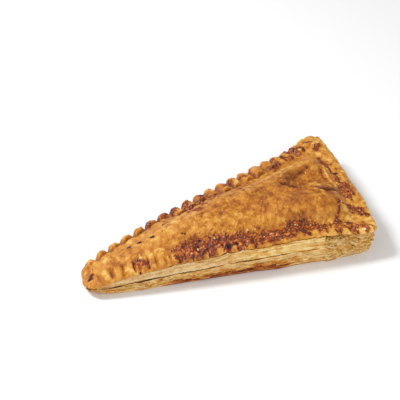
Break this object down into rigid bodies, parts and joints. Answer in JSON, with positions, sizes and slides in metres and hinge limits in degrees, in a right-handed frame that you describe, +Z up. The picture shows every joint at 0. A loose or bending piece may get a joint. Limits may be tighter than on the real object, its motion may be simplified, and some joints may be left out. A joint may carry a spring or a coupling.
{
  "type": "turnover pastry",
  "caption": "Baked puff pastry turnover: a folded parcel with a crimped border, a swollen filled middle, flaky layered sides and a glaze of caramelised coarse sugar.",
  "frame": {"origin": "centre of the footprint's box, on the flat underside that the pastry rests on", "axes": "+X along the long front edge from the blunt tip to the square end, +Y from the front edge towards the slanted back edge, +Z up"},
  "size_m": [0.154, 0.0924, 0.0257],
  "materials": {
    "baked_puff_pastry": "golden egg-washed crust with a soft shine, darker caramelised sugar on the border, pale flaky layers on the sides"
  },
  "bodies": {
    "root": {"turnover": "baked_puff_pastry"}
  },
  "joints": []
}
